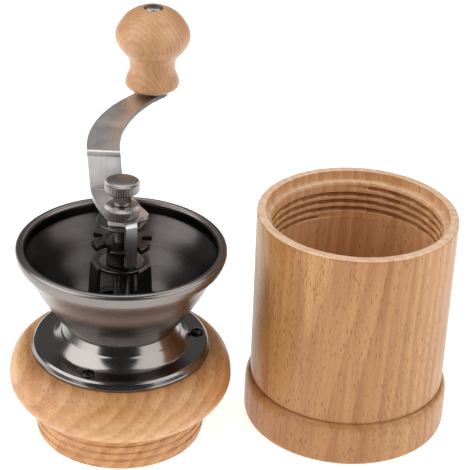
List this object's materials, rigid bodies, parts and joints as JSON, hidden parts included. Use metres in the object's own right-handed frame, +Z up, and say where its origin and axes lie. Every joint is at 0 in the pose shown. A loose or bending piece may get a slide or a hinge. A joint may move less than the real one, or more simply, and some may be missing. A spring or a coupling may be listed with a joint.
{
  "type": "burr coffee grinder",
  "caption": "Hand coffee grinder with a conical burr: a crank-driven head with an open metal hopper and a wooden collar, standing beside its threaded wooden jar.",
  "frame": {"origin": "centre of the jar's foot, on the surface that the jar and the head stand on", "axes": "+Z up along the jar's axis; -Y is the side that the jar and the head are seen from; the head stands on the -X side of the jar and its crank points to +Y"},
  "size_m": [0.2148, 0.174, 0.1797],
  "materials": {
    "wood": "light clear-lacquered hardwood with reddish pores",
    "knob_wood": "pinkish clear-lacquered hardwood",
    "gunmetal": "polished dark nickel plate",
    "nickel": "satin grey nickel plate",
    "black_steel": "blackened steel",
    "steel": "plain zinc-plated steel",
    "ceramic": "matt white technical ceramic",
    "bronze": "sintered bronze",
    "polymer": "black moulded plastic"
  },
  "bodies": {
    "jar": {"jar": "wood"},
    "head": {"wood_collar": "wood", "flange": "gunmetal", "hopper": "gunmetal", "bridge": "nickel", "bridge_bush": "bronze", "burr_housing": "polymer", "burr_retainer": "steel", "outer_burr": "ceramic", "guide_spider": "polymer", "guide_bush": "bronze", "flange_screw_1": "black_steel", "flange_screw_2": "black_steel", "flange_screw_3": "black_steel", "housing_screw_1": "steel", "housing_screw_2": "steel", "housing_screw_3": "steel", "bridge_screw_1": "black_steel", "bridge_screw_2": "black_steel", "bridge_screw_3": "black_steel", "retainer_screw_1": "steel", "retainer_screw_2": "steel", "retainer_screw_3": "steel"},
    "adjuster": {"adjuster_wheel": "nickel", "thrust_washer": "polymer"},
    "spindle": {"shaft": "steel", "inner_burr": "ceramic", "spring": "steel", "spring_washer": "steel", "burr_washer": "steel", "burr_nut": "steel", "drive_washer": "nickel"},
    "crank": {"crank_arm": "nickel", "knob_screw": "nickel", "knob_washer": "black_steel", "knob_nut": "nickel"},
    "lock_nut": {"lock_nut": "nickel"},
    "cap_nut": {"cap_nut": "nickel"},
    "knob": {"knob": "knob_wood"}
  },
  "joints": [
    {"name": "head_lift", "type": "slide", "parent": "jar", "child": "head", "axis": [0, 0, 1], "range_m": [0, 0.13]},
    {"name": "crank_spin", "type": "hinge", "parent": "head", "child": "adjuster", "pos_m": [-0.111, -0.0209, 0.1], "axis": [0, 0, 1], "continuous": true},
    {"name": "grind_setting", "type": "slide", "parent": "adjuster", "child": "spindle", "axis": [0, 0, 1], "range_m": [-0.0008, 0.0005], "deforming": ["spring"]},
    {"name": "crank_off", "type": "slide", "parent": "spindle", "child": "crank", "axis": [0, 0, 1], "range_m": [0, 0.045]},
    {"name": "lock_nut_off", "type": "slide", "parent": "crank", "child": "lock_nut", "axis": [0, 0, 1], "range_m": [0, 0.02]},
    {"name": "cap_nut_off", "type": "slide", "parent": "lock_nut", "child": "cap_nut", "axis": [0, 0, 1], "range_m": [0, 0.02]},
    {"name": "knob_spin", "type": "hinge", "parent": "crank", "child": "knob", "pos_m": [-0.1034, 0.0801, 0.158], "axis": [0, 0, 1], "continuous": true}
  ]
}
